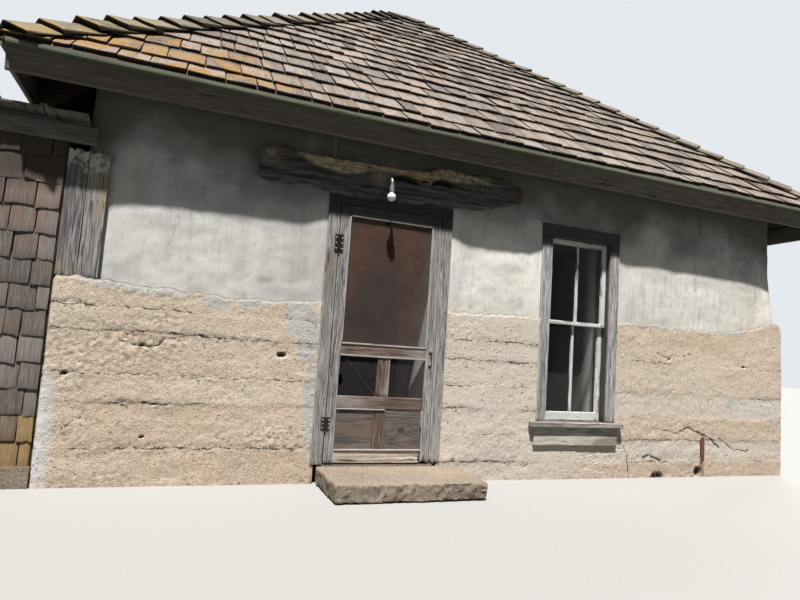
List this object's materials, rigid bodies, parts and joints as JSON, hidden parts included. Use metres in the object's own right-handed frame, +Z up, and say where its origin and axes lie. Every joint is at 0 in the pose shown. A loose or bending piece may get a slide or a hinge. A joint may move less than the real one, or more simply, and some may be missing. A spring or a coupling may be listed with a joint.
{
  "type": "turf house with hip roof and low wing",
  "caption": "Sod house with plastered walls over a concrete skirt, a shake hip roof, a hinged screen door, a sash window and a low shingled wing.",
  "frame": {"origin": "on the ground, under the middle of the main walls", "axes": "+Z up; the front with the door looks along -Y; +X to the right as seen from the front"},
  "size_m": [10.513, 8.204, 6.2421],
  "materials": {
    "plaster": "lime plaster, weathered, matt",
    "concrete": "board-formed concrete, sandy, matt",
    "step_concrete": "worn concrete with gravel, matt",
    "shakes": "weathered wood shakes with lichen",
    "wing_shingles": "weathered wall shingles, brown-grey",
    "weathered_wood": "silver-grey weathered boards",
    "rafter_wood": "sawn timber, aged",
    "floor_boards": "worn boards",
    "slab_wood": "sawn slab with natural edges, weathered",
    "door_wood": "weathered boards, brown-grey",
    "white_paint": "flaking white paint on wood",
    "rusty_wire_cloth": "rusty wire cloth",
    "rusty_steel": "rusty steel",
    "grey_steel": "galvanised pipe, dull",
    "window_glass": "clear sheet glass",
    "bulb_glass": "white bulb glass"
  },
  "bodies": {
    "house": {"floor": "floor_boards", "door_sill": "concrete", "front_wall_left": "plaster", "front_wall_middle": "plaster", "front_wall_right": "plaster", "front_wall_infill": "plaster", "right_wall": "plaster", "back_wall": "plaster", "left_wall": "plaster", "skirt_front_left": "concrete", "skirt_front_middle": "concrete", "skirt_front_right": "concrete", "skirt_under_window": "concrete", "skirt_sides": "concrete", "skirt_back": "concrete", "wall_plates": "rafter_wood", "front_back_rafters": "rafter_wood", "side_rafters": "rafter_wood", "hip_rafters": "rafter_wood", "roof_front": "shakes", "roof_right": "shakes", "roof_back": "shakes", "roof_left": "shakes", "hip_caps": "shakes", "eave_boards_front_back": "weathered_wood", "eave_boards_sides": "weathered_wood", "door_casing": "weathered_wood", "door_lining": "weathered_wood", "hinge_wall_leaves": "rusty_steel", "window_casing": "weathered_wood", "window_lining": "weathered_wood", "window_sashes": "white_paint", "window_glass": "window_glass", "window_sill": "weathered_wood", "window_apron": "weathered_wood", "door_step": "step_concrete", "slab_board": "slab_wood", "lamp_pipe": "grey_steel", "lamp_bulb": "bulb_glass", "corner_planks": "weathered_wood", "wing_foundation": "step_concrete", "wing_front_wall": "wing_shingles", "wing_left_wall": "wing_shingles", "wing_back_wall": "wing_shingles", "wing_beam": "weathered_wood", "wing_roof": "weathered_wood"},
    "screen_door": {"screen_door_frame": "door_wood", "screen_door_mesh": "rusty_wire_cloth", "screen_door_panels": "door_wood", "screen_door_pull": "rusty_steel", "hinge_door_leaves": "rusty_steel"}
  },
  "joints": [
    {"name": "screen_door_swing", "type": "hinge", "parent": "house", "child": "screen_door", "pos_m": [-1.53, -3.664, 1.15], "axis": [0, 0, -1], "range_deg": [0, 105]}
  ]
}
